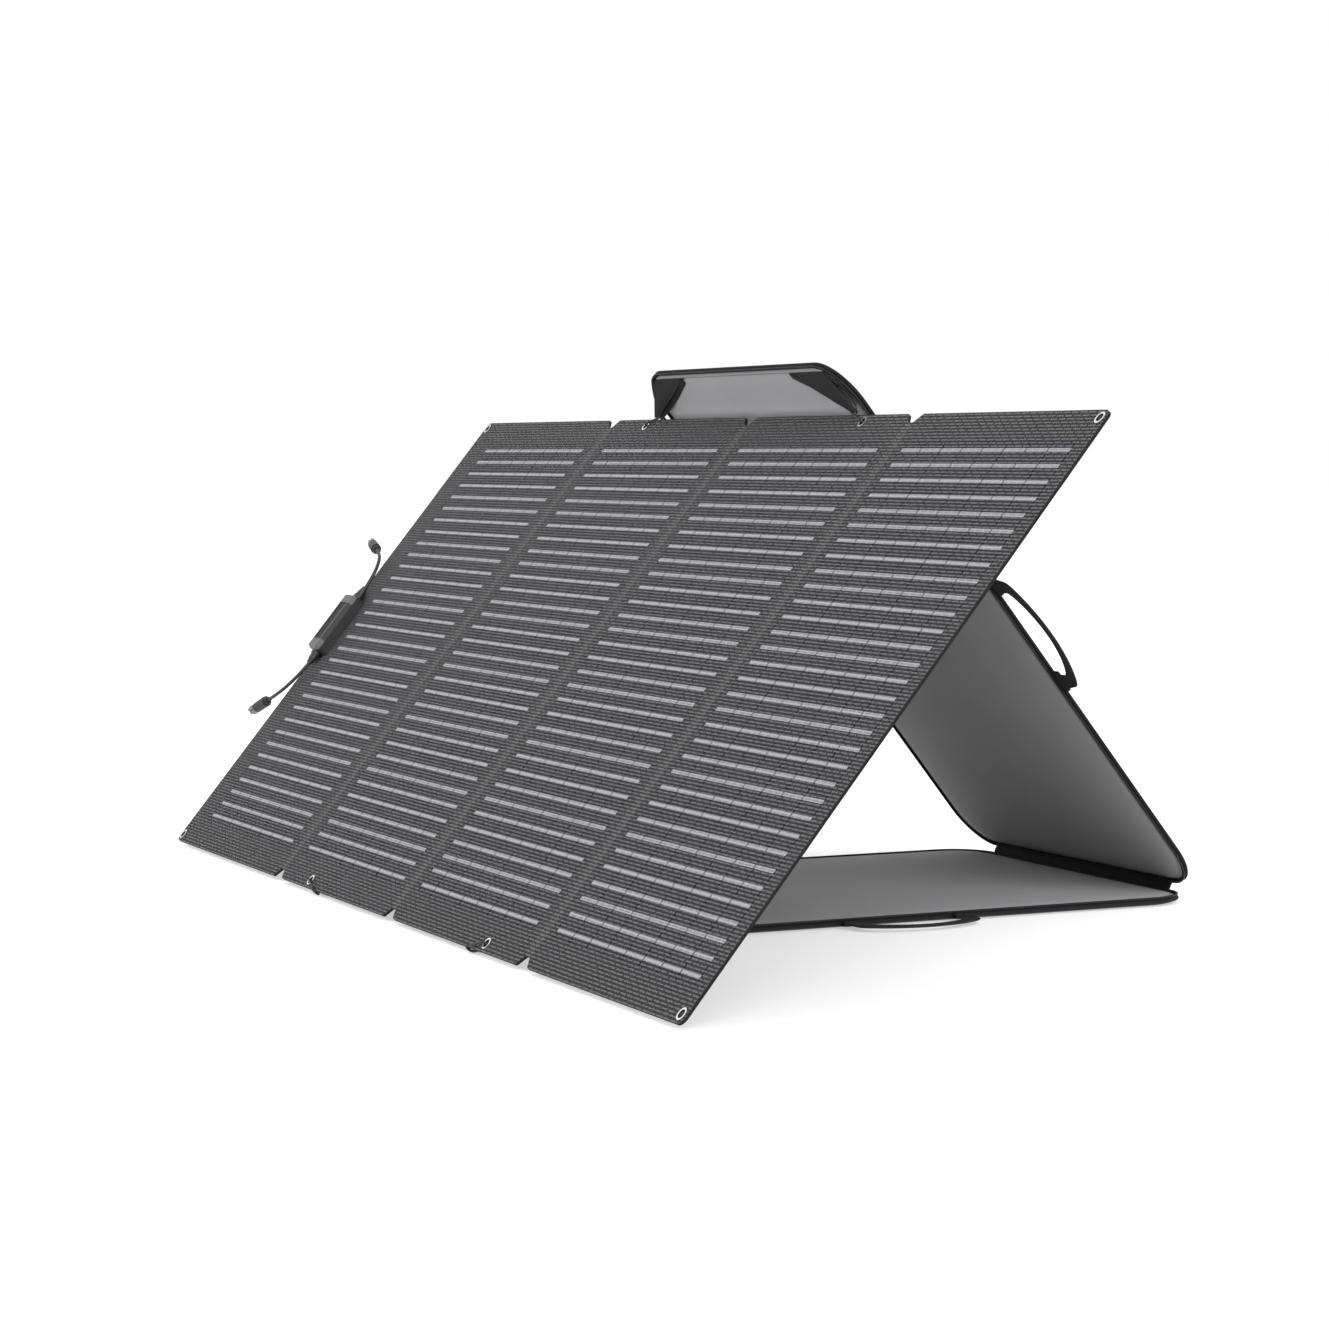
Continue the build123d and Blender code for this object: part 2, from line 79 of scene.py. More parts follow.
# camera and light
view = {"place": (4.0057, -2.0330, 0.6010), "yaw": 65.451, "pitch": 3.669, "roll": -0.144, "lens": 90.77}
camera = bpy.data.objects.new("camera", bpy.data.cameras.new("camera"))
camera.data.lens = view["lens"]
camera.data.sensor_width = 36
camera.data.clip_end = 60
turn = Euler((math.radians(90 - view["pitch"]), 0, math.radians(view["yaw"])))
camera.matrix_world = (
    Matrix.Translation(view["place"]) @ turn.to_matrix().to_4x4()
    @ Matrix.Rotation(math.radians(view["roll"]), 4, "Z")
)
bpy.context.scene.collection.objects.link(camera)
bpy.context.scene.camera = camera
bpy.context.scene.view_settings.view_transform = "Standard"

studio = {
    "sky": 1.0,
    "lamps": (  # where each soft lamp shines from, its spread in degrees and its strength
        ((-2.0, -3.0, 3.6), 50, 0.75),
        ((4.0, -0.4, 2.2), 60, 2.4),
    ),
}
world = bpy.data.worlds.new("studio")
world.use_nodes = True
world.node_tree.nodes["Background"].inputs["Color"].default_value = (1, 1, 1, 1)
world.node_tree.nodes["Background"].inputs["Strength"].default_value = studio["sky"]
bpy.context.scene.world = world
for index, (place, spread, strength) in enumerate(studio["lamps"]):
    lamp = bpy.data.lights.new("softLamp%d" % index, "SUN")
    lamp.angle = math.radians(spread)
    lamp.energy = strength
    holder = bpy.data.objects.new("softLamp%d" % index, lamp)
    holder.location = place
    holder.rotation_euler = (-Vector(place)).to_track_quat("-Z", "Y").to_euler()
    bpy.context.scene.collection.objects.link(holder)
print("camera and light set")


# shader maths
class Level:  # one socket of a material, so that sums on it read as plain arithmetic
    def __init__(self, finish, socket):
        self.finish = finish
        self.socket = socket

    def maths(self, operation, *others):
        return self.finish.node("ShaderNodeMath", {"operation": operation}, self, *others)

    def __add__(self, other):
        return self.maths("ADD", other)

    def __radd__(self, other):
        return self.maths("ADD", other)

    def __sub__(self, other):
        return self.maths("SUBTRACT", other)

    def __rsub__(self, other):
        return self.maths("MULTIPLY_ADD", -1.0, other)

    def __mul__(self, other):
        return self.maths("MULTIPLY", other)

    def __rmul__(self, other):
        return self.maths("MULTIPLY", other)

    def __truediv__(self, other):
        return self.maths("DIVIDE", other)

    def __gt__(self, other):
        return self.maths("GREATER_THAN", other)

    def __lt__(self, other):
        return self.maths("LESS_THAN", other)

    def __abs__(self):
        return self.maths("ABSOLUTE")

    def fraction(self):
        return self.maths("FRACT")

    def whole(self):
        return self.maths("FLOOR")

    def sine(self):
        return self.maths("SINE")


class Finish:  # a material and the nodes that make it
    def __init__(self, name, **fixed):
        self.material = bpy.data.materials.new(name)
        self.material.use_nodes = True
        self.tree = self.material.node_tree
        self.shader = self.tree.nodes["Principled BSDF"]
        for socket, value in fixed.items():
            self.shader.inputs[socket.replace("_", " ")].default_value = value

    def node(self, kind, settings=None, *values, output=0, **named):
        made = self.tree.nodes.new(kind)
        for key, value in (settings or {}).items():
            setattr(made, key, value)
        for key, value in list(enumerate(values)) + list(named.items()):
            socket = made.inputs[key.replace("_", " ") if isinstance(key, str) else key]
            if isinstance(value, Level):
                self.tree.links.new(value.socket, socket)
            else:
                socket.default_value = value
        return Level(self, made.outputs[output])

    def place(self):  # object coordinates as three levels and as one vector
        spot = self.node("ShaderNodeTexCoord", output="Object")
        return [self.node("ShaderNodeSeparateXYZ", None, spot, output=axis) for axis in range(3)] + [spot]

    def panelPlace(self):  # along the panel, up its slope, and out of its face
        x, y, z, spot = self.place()
        y = y - kit["footY"]
        z = z - kit["edgeLift"]
        return x, y * math.cos(tilt) + z * math.sin(tilt), z * math.cos(tilt) - y * math.sin(tilt), spot

    def sheetPlace(self):  # metres along and across a sewn piece, from its own map
        spot = self.node("ShaderNodeUVMap", {"uv_map": "cloth"})
        return [self.node("ShaderNodeSeparateXYZ", None, spot, output=axis) for axis in range(2)] + [spot]

    def noise(self, spot, scale, detail=3.0):
        return self.node("ShaderNodeTexNoise", None, Vector=spot, Scale=scale, Detail=detail)

    def blend(self, share, low, high):  # a colour between two others
        mixed = self.tree.nodes.new("ShaderNodeMix")
        mixed.data_type = "RGBA"
        for key, value in ((0, share), (6, low), (7, high)):
            if isinstance(value, Level):
                self.tree.links.new(value.socket, mixed.inputs[key])
            else:
                mixed.inputs[key].default_value = (*value, 1.0) if key else value
        return Level(self, mixed.outputs[2])

    def drive(self, socket, level):
        self.tree.links.new(level.socket, self.shader.inputs[socket])

    def relief(self, height, depth):  # height from 0 to 1 over depth in metres
        bump = self.node("ShaderNodeBump", None, Strength=1.0, Distance=depth, Height=height, output="Normal")
        self.drive("Normal", bump)


def wave(level, pitch):  # 0 to 1 and back, once each pitch
    return (level * (2 * math.pi / pitch)).sine() * 0.5 + 0.5


def weaveRelief(along, across, pitch):  # over-and-under of a plain weave
    odd = (along / pitch).whole() + (across / pitch).whole()
    over = (odd * 0.5).fraction() * 2
    warp = abs((along * (math.pi / pitch)).sine())
    weft = abs((across * (math.pi / pitch)).sine())
    return over * warp + (1 - over) * weft


clothLooks = {  # low and high colour, weave pitch, relief depth, roughness
    "boardFabric": ((0.003, 0.003, 0.003), (0.010, 0.010, 0.011), 0.0011, 0.00022, 0.78),
    "coverFabric": ((0.026, 0.026, 0.028), (0.055, 0.055, 0.058), 0.0013, 0.00025, 0.80),
    "liningFabric": ((0.270, 0.271, 0.277), (0.365, 0.366, 0.374), 0.0009, 0.00012, 0.88),
    "webbing": ((0.006, 0.006, 0.007), (0.020, 0.020, 0.021), 0.0016, 0.00040, 0.62),
    "tapeFabric": ((0.005, 0.005, 0.006), (0.013, 0.013, 0.014), 0.0010, 0.00020, 0.70),
    "flapFabric": ((0.010, 0.010, 0.011), (0.020, 0.020, 0.022), 0.0010, 0.00016, 0.82),
}


def clothFinish(name):  # mottled woven cloth, by the piece's own map
    low, high, pitch, depth, rough = clothLooks[name]
    finish = Finish(name, Specular_IOR_Level=0.2)
    along, across, spot = finish.sheetPlace()
    weave = weaveRelief(along, across, pitch)
    blotch = finish.noise(spot, 14.0, 4.0)
    grain = finish.noise(spot, 900.0, 2.0)
    finish.drive("Base Color", finish.blend(weave * 0.35 + blotch * 0.35 + grain * 0.3, low, high))
    finish.drive("Roughness", rough + grain * 0.12)
    finish.relief(weave * 0.7 + grain * 0.3, depth)
    return finish.material


def boardFinish():  # coated cloth, its front face under the film painted paler than its edges: painted light on the lit face
    low, high, pitch, depth, rough = clothLooks["boardFabric"]
    finish = Finish("boardFabric", Specular_IOR_Level=0.25)
    x, v, n, spot = finish.panelPlace()
    weave = weaveRelief(x, v, pitch)
    grain = finish.noise(spot, 700.0, 2.0)
    shade = weave * 0.5 + grain * 0.5
    edge = finish.blend(shade, low, high)
    # painted light: the front face is given paler colours than the edges, as if lit
    face = finish.blend(shade, filmLook["litFaceLow"], filmLook["litFaceHigh"])
    finish.drive("Base Color", finish.blend(n > filmLook["face"], edge, face))
    finish.drive("Roughness", rough + grain * 0.1)
    finish.relief(weave, depth)
    return finish.material


filmLook = {
    "rowPitch": 0.0048, "dashLength": 0.0180, "dashShare": 0.84, "rowShare": 0.44,
    # the light colour and the thick opacity are the ridges' painted sheen
    "dark": (0.020, 0.020, 0.021), "light": (0.235, 0.235, 0.240), "thick": 0.42, "under": -0.00008,
    # the paler fold colour is a painted sheen on the ridges
    "foldDark": (0.012, 0.012, 0.013), "foldSheen": (0.115, 0.115, 0.118), "depth": 0.00030,
    # the board's paler front-face colours below are painted light
    "face": -0.0006, "litFaceLow": (0.012, 0.012, 0.013), "litFaceHigh": (0.024, 0.024, 0.026),
}


def pressedRows(x, v):  # short ridges in rows, each row moved half a dash along
    row = v / filmLook["rowPitch"]
    shift = (row.whole() * 0.5).fraction()
    dash = (x / filmLook["dashLength"] + shift).fraction() < filmLook["dashShare"]
    return (row.fraction() < filmLook["rowShare"]) * dash, dash


def filmFinish():  # clear film; its pressed ridges are real, their pale grey colour and cloudiness are a painted sheen
    finish = Finish("frontFilm", IOR=1.45, Specular_IOR_Level=0.25)
    x, v, n, spot = finish.panelPlace()
    ridge, dash = pressedRows(x, v)
    grain = finish.noise(spot, 300.0, 2.0)
    share = ridge * 0.85 + grain * 0.15
    # painted sheen: the ridges get a pale grey colour and part opacity in place of the glare of the white
    # surroundings
    finish.drive("Base Color", finish.blend(share, filmLook["dark"], filmLook["light"]))
    finish.drive("Roughness", 0.40 + ridge * 0.15)
    finish.drive("Alpha", (n > filmLook["under"]) * ridge * filmLook["thick"])
    finish.relief(wave(v, filmLook["rowPitch"]) * dash, filmLook["depth"])
    return finish.material


def foldFinish():  # the same ridges pressed into the soft cloth of a fold, their paler colour a painted sheen
    finish = Finish("foldFabric", Specular_IOR_Level=0.25)
    x, v, n, spot = finish.panelPlace()
    ridge, dash = pressedRows(x, v)
    grain = finish.noise(spot, 500.0, 2.0)
    share = ridge * 0.8 + grain * 0.2
    # painted sheen: the ridges are given the paler fold colour
    finish.drive("Base Color", finish.blend(share, filmLook["foldDark"], filmLook["foldSheen"]))
    finish.drive("Roughness", 0.6 + grain * 0.15)
    finish.relief(wave(v, filmLook["rowPitch"]) * dash, filmLook["depth"])
    return finish.material


cellLook = {
    "starts": (-0.8744, -0.418, 0.031, 0.477), "pitch": 0.0483, "border": 0.0030, "finger": 0.0016,
    "fingerShare": 0.14, "fingerTint": 0.2, "silver": (0.22, 0.22, 0.23),
    # edge is the cells' dark border colour and also the ribbons' painted shadow; gap is that shadow's width
    "low": (0.018, 0.016, 0.021), "high": (0.028, 0.025, 0.032), "edge": (0.001, 0.001, 0.001),
    "tinLow": (0.24, 0.24, 0.25), "tinHigh": (0.32, 0.32, 0.33), "gap": 0.0026,
}


def columnGap(level, start, width):  # 1 within half a width of each gap between cells
    step = ((level - start) / cellLook["pitch"] + 0.5).fraction()
    return abs(step - 0.5) < width / cellLook["pitch"] / 2


def cellFinish(start):  # dark wafer with fine printed fingers and a darker sawn border
    finish = Finish("solarCell", Specular_IOR_Level=0.05)
    x, v, n, spot = finish.panelPlace()
    finger = (x / cellLook["finger"]).fraction() < cellLook["fingerShare"]
    cloud = finish.noise(spot, 9.0, 4.0)
    colour = finish.blend(cloud, cellLook["low"], cellLook["high"])
    colour = finish.blend(finger * cellLook["fingerTint"], colour, cellLook["silver"])
    gap = columnGap(x, start, cellLook["border"])
    finish.drive("Base Color", finish.blend(gap, colour, cellLook["edge"]))
    finish.drive("Roughness", 0.62 + cloud * 0.15)
    return finish.material


def ribbonFinish(start):  # tinned strip with a painted shadow: a dark line over each gap between cells
    finish = Finish("tinnedRibbon", Specular_IOR_Level=0.3)
    x, v, n, spot = finish.panelPlace()
    grain = finish.noise(spot, 160.0, 3.0)
    tin = finish.blend(grain, cellLook["tinLow"], cellLook["tinHigh"])
    # painted shadow: the edge colour laid over each gap between cells
    finish.drive("Base Color", finish.blend(columnGap(x, start, cellLook["gap"]), tin, cellLook["edge"]))
    finish.drive("Roughness", 0.5 + grain * 0.15)
    return finish.material


eyeletLook = {
    "rowX": (-0.9349, -0.326, 0.326, 0.8771), "middleV": 0.410, "rowV": 0.3985,
    "ring": (0.0056, 0.0079), "bright": (0.88, 0.88, 0.89), "darkWithBoreShade": (0.05, 0.05, 0.052),
}


def eyeletFinish(centre):  # bright rolled ring, dark inside the bore as painted shade, and dark under the film
    finish = Finish("eyeletSteel", Metallic=0.9)
    x, v, n, spot = finish.panelPlace()
    outX = x - centre
    outV = abs(abs(v - eyeletLook["middleV"]) - eyeletLook["rowV"])
    radius = (outX * outX + outV * outV).maths("SQRT")
    ring = (radius > eyeletLook["ring"][0]) * (radius < eyeletLook["ring"][1])
    smear = finish.noise(spot, 260.0, 3.0)
    share = ring * (0.8 + smear * 0.2)
    # painted shade: the metal inside the bore is given the dark colour
    finish.drive("Base Color", finish.blend(share, eyeletLook["darkWithBoreShade"], eyeletLook["bright"]))
    finish.drive("Roughness", 0.12 + smear * 0.2)
    return finish.material


def metalFinish(name, low, high, rough, metallic):  # rubbed metal with small changes of gloss
    finish = Finish(name, Metallic=metallic)
    x, y, z, spot = finish.place()
    smear = finish.noise(spot, 90.0, 4.0)
    finish.drive("Base Color", finish.blend(smear, low, high))
    finish.drive("Roughness", smear * 0.18 + rough)
    finish.relief(finish.noise(spot, 1400.0, 2.0), 0.00003)
    return finish.material


def plasticFinish(name, low, high, rough):  # moulded plastic with a fine spark-eroded grain
    finish = Finish(name)
    x, y, z, spot = finish.place()
    cloud = finish.noise(spot, 40.0, 3.0)
    grain = finish.noise(spot, 2600.0, 2.0)
    finish.drive("Base Color", finish.blend(cloud, low, high))
    finish.drive("Roughness", rough + grain * 0.15)
    finish.relief(grain, 0.00005)
    return finish.material


boxLook = {  # cap is where the lid's end caps start, and the line's width and length are halves
    "x": -0.921, "v": 0.410, "cap": 0.035, "line": 0.0105, "lineWidth": 0.0007, "lineLength": 0.031,
    "black": (0.008, 0.008, 0.009), "grey": (0.085, 0.085, 0.088), "pale": (0.42, 0.42, 0.43),
}


def lidFinish():  # black lid with grey sloping caps at its two ends
    finish = Finish("boxLid", Specular_IOR_Level=0.35)
    x, v, n, spot = finish.panelPlace()
    grain = finish.noise(spot, 2600.0, 2.0)
    cap = abs(v - boxLook["v"]) > boxLook["cap"]
    share = cap * (0.85 + grain * 0.15)
    finish.drive("Base Color", finish.blend(share, boxLook["black"], boxLook["grey"]))
    finish.drive("Roughness", 0.40 + grain * 0.15)
    finish.relief(grain, 0.00005)
    return finish.material


def plateFinish():  # dark sunk plate with one pale line along its inner side
    finish = Finish("boxPlate", Specular_IOR_Level=0.2)
    x, v, n, spot = finish.panelPlace()
    near = abs(x - boxLook["x"] - boxLook["line"]) < boxLook["lineWidth"]
    line = near * (abs(v - boxLook["v"]) < boxLook["lineLength"])
    grain = finish.noise(spot, 1200.0, 2.0)
    share = line * (0.8 + grain * 0.2)
    finish.drive("Base Color", finish.blend(share, boxLook["black"], boxLook["pale"]))
    finish.drive("Roughness", 0.55 + grain * 0.1)
    return finish.material


connectorLook = {"black": (0.006, 0.006, 0.007), "grey": (0.17, 0.17, 0.175), "tip": 0.038}


def connectorFinish(base, ahead):  # black body and grey keyed tip, split square across the line through both
    finish = Finish("connectorPlastic", Specular_IOR_Level=0.4)
    x, y, z, spot = finish.place()
    along = unit(ahead - base)
    wayX, wayY, wayZ = [
        (level - float(origin)) * float(step) for level, origin, step in zip((x, y, z), base, along)
    ]
    way = wayX + wayY + wayZ
    grain = finish.noise(spot, 1800.0, 2.0)
    share = (way > connectorLook["tip"]) * (0.75 + grain * 0.25)
    finish.drive("Base Color", finish.blend(share, connectorLook["black"], connectorLook["grey"]))
    finish.drive("Roughness", 0.38 + grain * 0.15)
    finish.relief(grain, 0.00005)
    return finish.material


metalLooks = {  # low and high colour, roughness, share of bare metal
    "blackMetal": ((0.010, 0.010, 0.011), (0.030, 0.030, 0.032), 0.30, 0.6),
    "zipTeeth": ((0.012, 0.012, 0.012), (0.040, 0.040, 0.042), 0.32, 0.2),
}
plasticLooks = {  # low and high colour, roughness
    "blackPlastic": ((0.008, 0.008, 0.009), (0.018, 0.018, 0.019), 0.36),
    "leadRubber": ((0.012, 0.012, 0.013), (0.024, 0.024, 0.025), 0.48),
    "thread": ((0.020, 0.020, 0.021), (0.050, 0.050, 0.052), 0.60),
}
finishes = {name: clothFinish(name) for name in clothLooks if name != "boardFabric"}
finishes.update({name: metalFinish(name, *look) for name, look in metalLooks.items()})
finishes.update({name: plasticFinish(name, *look) for name, look in plasticLooks.items()})
finishes["boardFabric"] = boardFinish()
finishes["frontFilm"] = filmFinish()
finishes["foldFabric"] = foldFinish()
finishes["boxLid"] = lidFinish()
finishes["boxPlate"] = plateFinish()


def dress(piece, finish):
    piece.data.materials.clear()
    piece.data.materials.append(finishes[finish] if isinstance(finish, str) else finish)


nodeFinishes = {
    "boardFabric": ["panel_%d_board" % i for i in (1, 2, 3, 4)],
    "frontFilm": ["panel_%d_film" % i for i in (1, 2, 3, 4)],
    "blackMetal": [part + corner for part in ("carabiner_", "gate_")
                   for corner in ("top_left", "top_right", "bottom_left", "bottom_right")],
    "zipTeeth": ["zipper_slider", "zipper_pull"],
    "blackPlastic": ["junction_box_base", "cable_glands", "diode_block"],
    "boxLid": ["junction_box_lid"],
    "boxPlate": ["junction_box_plate"],
    "coverFabric": ["base_core", "back_core"],
}
for finish, names in nodeFinishes.items():
    for name in names:
        for slot in nodes[name].material_slots:
            slot.material = finishes[finish]
for index, (start, centre) in enumerate(zip(cellLook["starts"], eyeletLook["rowX"])):
    made = {"cells": cellFinish(start), "ribbons": ribbonFinish(start), "eyelets": eyeletFinish(centre)}
    for part, finish in made.items():
        for slot in nodes["panel_%d_%s" % (index + 1, part)].material_slots:
            slot.material = finish
print("finishes made")


# mesh helpers
def gridFaces(rows, columns, first=0, wrap=False):  # quads of a grid of points, counted row by row
    row = np.arange(rows - 1)[:, None]
    column = np.arange(columns if wrap else columns - 1)[None, :]
    after = (column + 1) % columns
    here, there = row * columns, (row + 1) * columns
    corners = (here + column, here + after, there + after, there + column)
    return np.stack(corners, -1).reshape(-1, 4) + first


def addMesh(name, points, faces, finish, uv=None, smooth=True):
    mesh = bpy.data.meshes.new(name)
    mesh.from_pydata(points.reshape(-1, 3), [], faces if isinstance(faces, list) else faces.tolist())
    if uv is not None:
        layer = mesh.uv_layers.new(name="cloth")
        loops = np.empty(len(mesh.loops), dtype=np.int32)
        mesh.loops.foreach_get("vertex_index", loops)
        layer.data.foreach_set("uv", uv.reshape(-1, 2)[loops].ravel())
    mesh.polygons.foreach_set("use_smooth", np.full(len(mesh.polygons), smooth))
    mesh.update()
    piece = bpy.data.objects.new(name, mesh)
    bpy.context.scene.collection.objects.link(piece)
    dress(piece, finish)
    return piece


def closedSheet(name, top, under, uv, finish):  # two equal grids of points joined round their edges
    rows, columns = top.shape[:2]
    size = rows * columns
    rim = np.concatenate((
        np.arange(columns),
        np.arange(1, rows) * columns + columns - 1,
        (rows - 1) * columns + np.arange(columns - 2, -1, -1),
        np.arange(rows - 2, 0, -1) * columns,
    ))
    after = np.roll(rim, -1)
    wall = np.stack((rim, rim + size, after + size, after), -1)
    lower = gridFaces(rows, columns, size)[:, ::-1]
    faces = np.concatenate((gridFaces(rows, columns), lower, wall))
    points = np.concatenate((top.reshape(-1, 3), under.reshape(-1, 3)))
    return addMesh(name, points, faces, finish, np.concatenate((uv.reshape(-1, 2), uv.reshape(-1, 2))))


def runLength(path):  # distance along a row of points
    steps = np.linalg.norm(np.diff(path, axis=0), axis=1)
    return np.concatenate(([0.0], np.cumsum(steps)))


def resample(path, count):  # even steps along a row of points
    length = runLength(path)
    at = np.linspace(0, length[-1], count)
    return np.stack([np.interp(at, length, path[:, axis]) for axis in range(3)], -1)


def band(name, path, side, width, thick, finish, rows=9):
    # a strap: offset across = half width * u, raised half thickness * (1 - u^6)^(1/2), so its edges are round
    tangent = unit(np.gradient(path, axis=0))
    side = unit(side - (side * tangent).sum(-1, keepdims=True) * tangent)
    normal = np.cross(tangent, side)
    u = np.sin(np.linspace(-1, 1, rows) * math.pi / 2)[None, :, None]
    raised = np.sqrt(np.clip(1 - u ** 6, 0, 1)) * 0.5 + 0.04
    width = np.broadcast_to(width, len(path))[:, None, None]
    flat = path[:, None] + side[:, None] * u * width / 2
    top = flat + normal[:, None] * raised * thick
    under = flat - normal[:, None] * raised * thick
    along = np.broadcast_to(runLength(path)[:, None], flat.shape[:2])
    across = np.broadcast_to(u[..., 0] * width[..., 0] / 2, flat.shape[:2])
    return closedSheet(name, top, under, np.stack((along, across), -1), finish)


stitch = {"pitch": 0.0042, "length": 0.0031, "radius": 0.00038, "sides": 5, "taper": 0.8}


def stitches(name, path, normal):
    # threads along a path: each is a spindle of radius * (1 - taper * t^4), t from -1 to 1 along it
    length = runLength(path)
    at = np.arange(stitch["pitch"], length[-1], stitch["pitch"])
    slope = np.gradient(path, axis=0)
    spots = np.stack([np.interp(at, length, path[:, axis]) for axis in range(3)], -1)
    tangent = unit(np.stack([np.interp(at, length, slope[:, axis]) for axis in range(3)], -1))
    normal = np.broadcast_to(normal, spots.shape)
    normal = unit(normal - (normal * tangent).sum(-1, keepdims=True) * tangent)
    side = np.cross(tangent, normal)
    t = np.array((-1.0, -0.7, 0.7, 1.0))
    sides = stitch["sides"]
    angle = np.arange(sides) * (2 * math.pi / sides)
    ring = stitch["radius"] * (1 - stitch["taper"] * t ** 4)
    body = (
        spots[:, None, None]
        + tangent[:, None, None] * (t * stitch["length"] / 2)[None, :, None, None]
        + side[:, None, None] * (ring[:, None] * np.cos(angle))[None, :, :, None]
        + normal[:, None, None] * (ring[:, None] * np.sin(angle))[None, :, :, None]
    )
    count = t.size * sides
    first = np.arange(len(at))[:, None, None] * count
    tube = (gridFaces(t.size, sides, 0, True)[None, :, ::-1] + first).reshape(-1, 4)
    caps = np.stack((np.arange(sides), np.arange(count - 1, count - sides - 1, -1)))
    caps = (caps[None] + first).reshape(-1, sides)
    return addMesh(name, body, tube.tolist() + caps.tolist(), "thread")


# leads
leads = {
    "diameter": 0.0055, "boxX": -0.921, "boxV": 0.410, "endV": 0.074,
    "steps": (  # each point: x from the box, v beyond the gland's mouth on that side, n
        ("lead_upper", 1, "connector_upper", 0.1133,
         ((0, 0, .008), (-.0015, .022, .009), (-.013, .046, .011), (-.037, .063, .011), (-.072, .072, .009))),
        ("lead_lower", -1, "connector_lower", 0.1060,
         ((0, 0, .008), (-.0015, .022, .009), (-.011, .044, .010), (-.031, .062, .009), (-.062, .075, .006))),
    ),
}
for name, side, connector, length, steps in leads["steps"]:
    x, beyond, n = np.array(steps).T
    route = onPanel(leads["boxX"] + x, leads["boxV"] + side * (leads["endV"] + beyond), n)
    curve = bpy.data.curves.new(name + "_cord", "CURVE")
    curve.dimensions = "3D"
    curve.bevel_depth = leads["diameter"] / 2
    curve.bevel_resolution = 4
    curve.resolution_u = 16
    curve.use_fill_caps = True
    spline = curve.splines.new("NURBS")
    spline.points.add(len(route) - 1)
    spline.points.foreach_set("co", np.column_stack((route, np.ones(len(route)))).ravel())
    spline.order_u = 3
    spline.use_endpoint_u = True
    lead = bpy.data.objects.new(name + "_cord", curve)
    bpy.context.scene.collection.objects.link(lead)
    dress(lead, "leadRubber")
    body = connectorFinish(route[-1], 2 * route[-1] - route[-2])
    for slot in nodes[connector].material_slots:
        slot.material = body
    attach(lead, "panel_1")
    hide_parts(name)
print("leads laid")


# soft hinges between the segments
fold = {
    "reach": 0.0085, "dip": 0.0016, "ridge": 0.0010, "thick": 0.0010, "lap": 0.00012, "span": 0.0055,
    "ripple": 0.00006, "tuck": 0.001,
}
foldJoints = (("fold_left_strip", "panel_2", "panel_1", -1), ("fold_mid_strip", "panel_2", "panel_3", 1),
              ("fold_right_strip", "panel_3", "panel_4", 1))
for centre, (node, first, second, side) in zip(kit["folds"], foldJoints):
    # a strip with a soft groove: height = lap - dip * cos^2 of the way across + ridge * its eighth power
    across = np.linspace(-1, 1, 29)[None, :]
    along = np.linspace(kit["notchDepth"] - fold["tuck"],
                        kit["panelHeight"] - kit["notchDepth"] + fold["tuck"], 180)[:, None]
    swell = np.cos(across * math.pi / 2)
    top = fold["lap"] - fold["dip"] * swell ** 2 + fold["ridge"] * swell ** 8
    top = top + fold["ripple"] * np.sin(along * 190 + across * 2.0) * swell
    x = centre + across * fold["reach"] * np.ones_like(along)
    under = np.minimum(top - fold["ripple"], top - fold["thick"] * swell ** 0.5)
    uv = np.stack(np.broadcast_arrays(along, across * fold["reach"]), -1)
    strip = closedSheet(node + "_cloth", onPanel(x, along, top), onPanel(x, along, under), uv, "foldFabric")
    middle = (kit["panelHeight"] / 2, 0.0)
    start = onPanel(centre - side * fold["span"], *middle)
    end = onPanel(centre + side * fold["span"], *middle)
    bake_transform(strip)
    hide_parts(node)


# folio case boards
case = {
    "halfWidth": 0.298, "near": 0.008, "far": 0.885, "corner": 0.065,
    "liningInset": 0.0056, "liningFace": 0.0003, "liningSink": 0.0040, "liningBack": 0.0063,
    "liningSoft": 0.009, "liningWave": 0.00025, "liningCrease": 0.00008, "calmEdge": 0.04,
    "coverInset": 0.0046, "coverOut": 0.0127, "coverSoft": 0.0035, "coverIn": 0.0098,
    "coverReach": 0.005, "coverStep": 0.0036, "stepReach": 0.003, "grid": (90, 130),
}


def roundedGrid(inset, across, along):
    # grid over a rounded rectangle: half width is narrowed at the ends by corner - (corner^2 - t^2)^(1/2)
    half, near, far = case["halfWidth"] - inset, case["near"] + inset, case["far"] - inset
    corner = case["corner"] - inset
    q = (1 - np.cos(np.linspace(0, math.pi, along))) / 2
    s = near + (far - near) * (0.35 * q + 0.65 * np.linspace(0, 1, along))
    past = np.maximum(corner - np.minimum(s - near, far - s), 0)
    width = half - corner + np.sqrt(np.maximum(corner ** 2 - past ** 2, 0))
    u = np.linspace(-1, 1, across)
    u = 0.5 * u + 0.5 * np.sin(u * math.pi / 2)
    x = u[None, :] * width[:, None]
    s = np.broadcast_to(s[:, None], x.shape)
    # distance from the edge: straight sides by subtraction, corners by radius
    sideGap = half - np.abs(x)
    endGap = np.minimum(s - near, far - s)
    radial = corner - np.hypot(np.maximum(corner - sideGap, 0), np.maximum(corner - endGap, 0))
    gap = np.where((sideGap < corner) & (endGap < corner), radial, np.minimum(sideGap, endGap))
    return x, s, np.maximum(gap, 0)


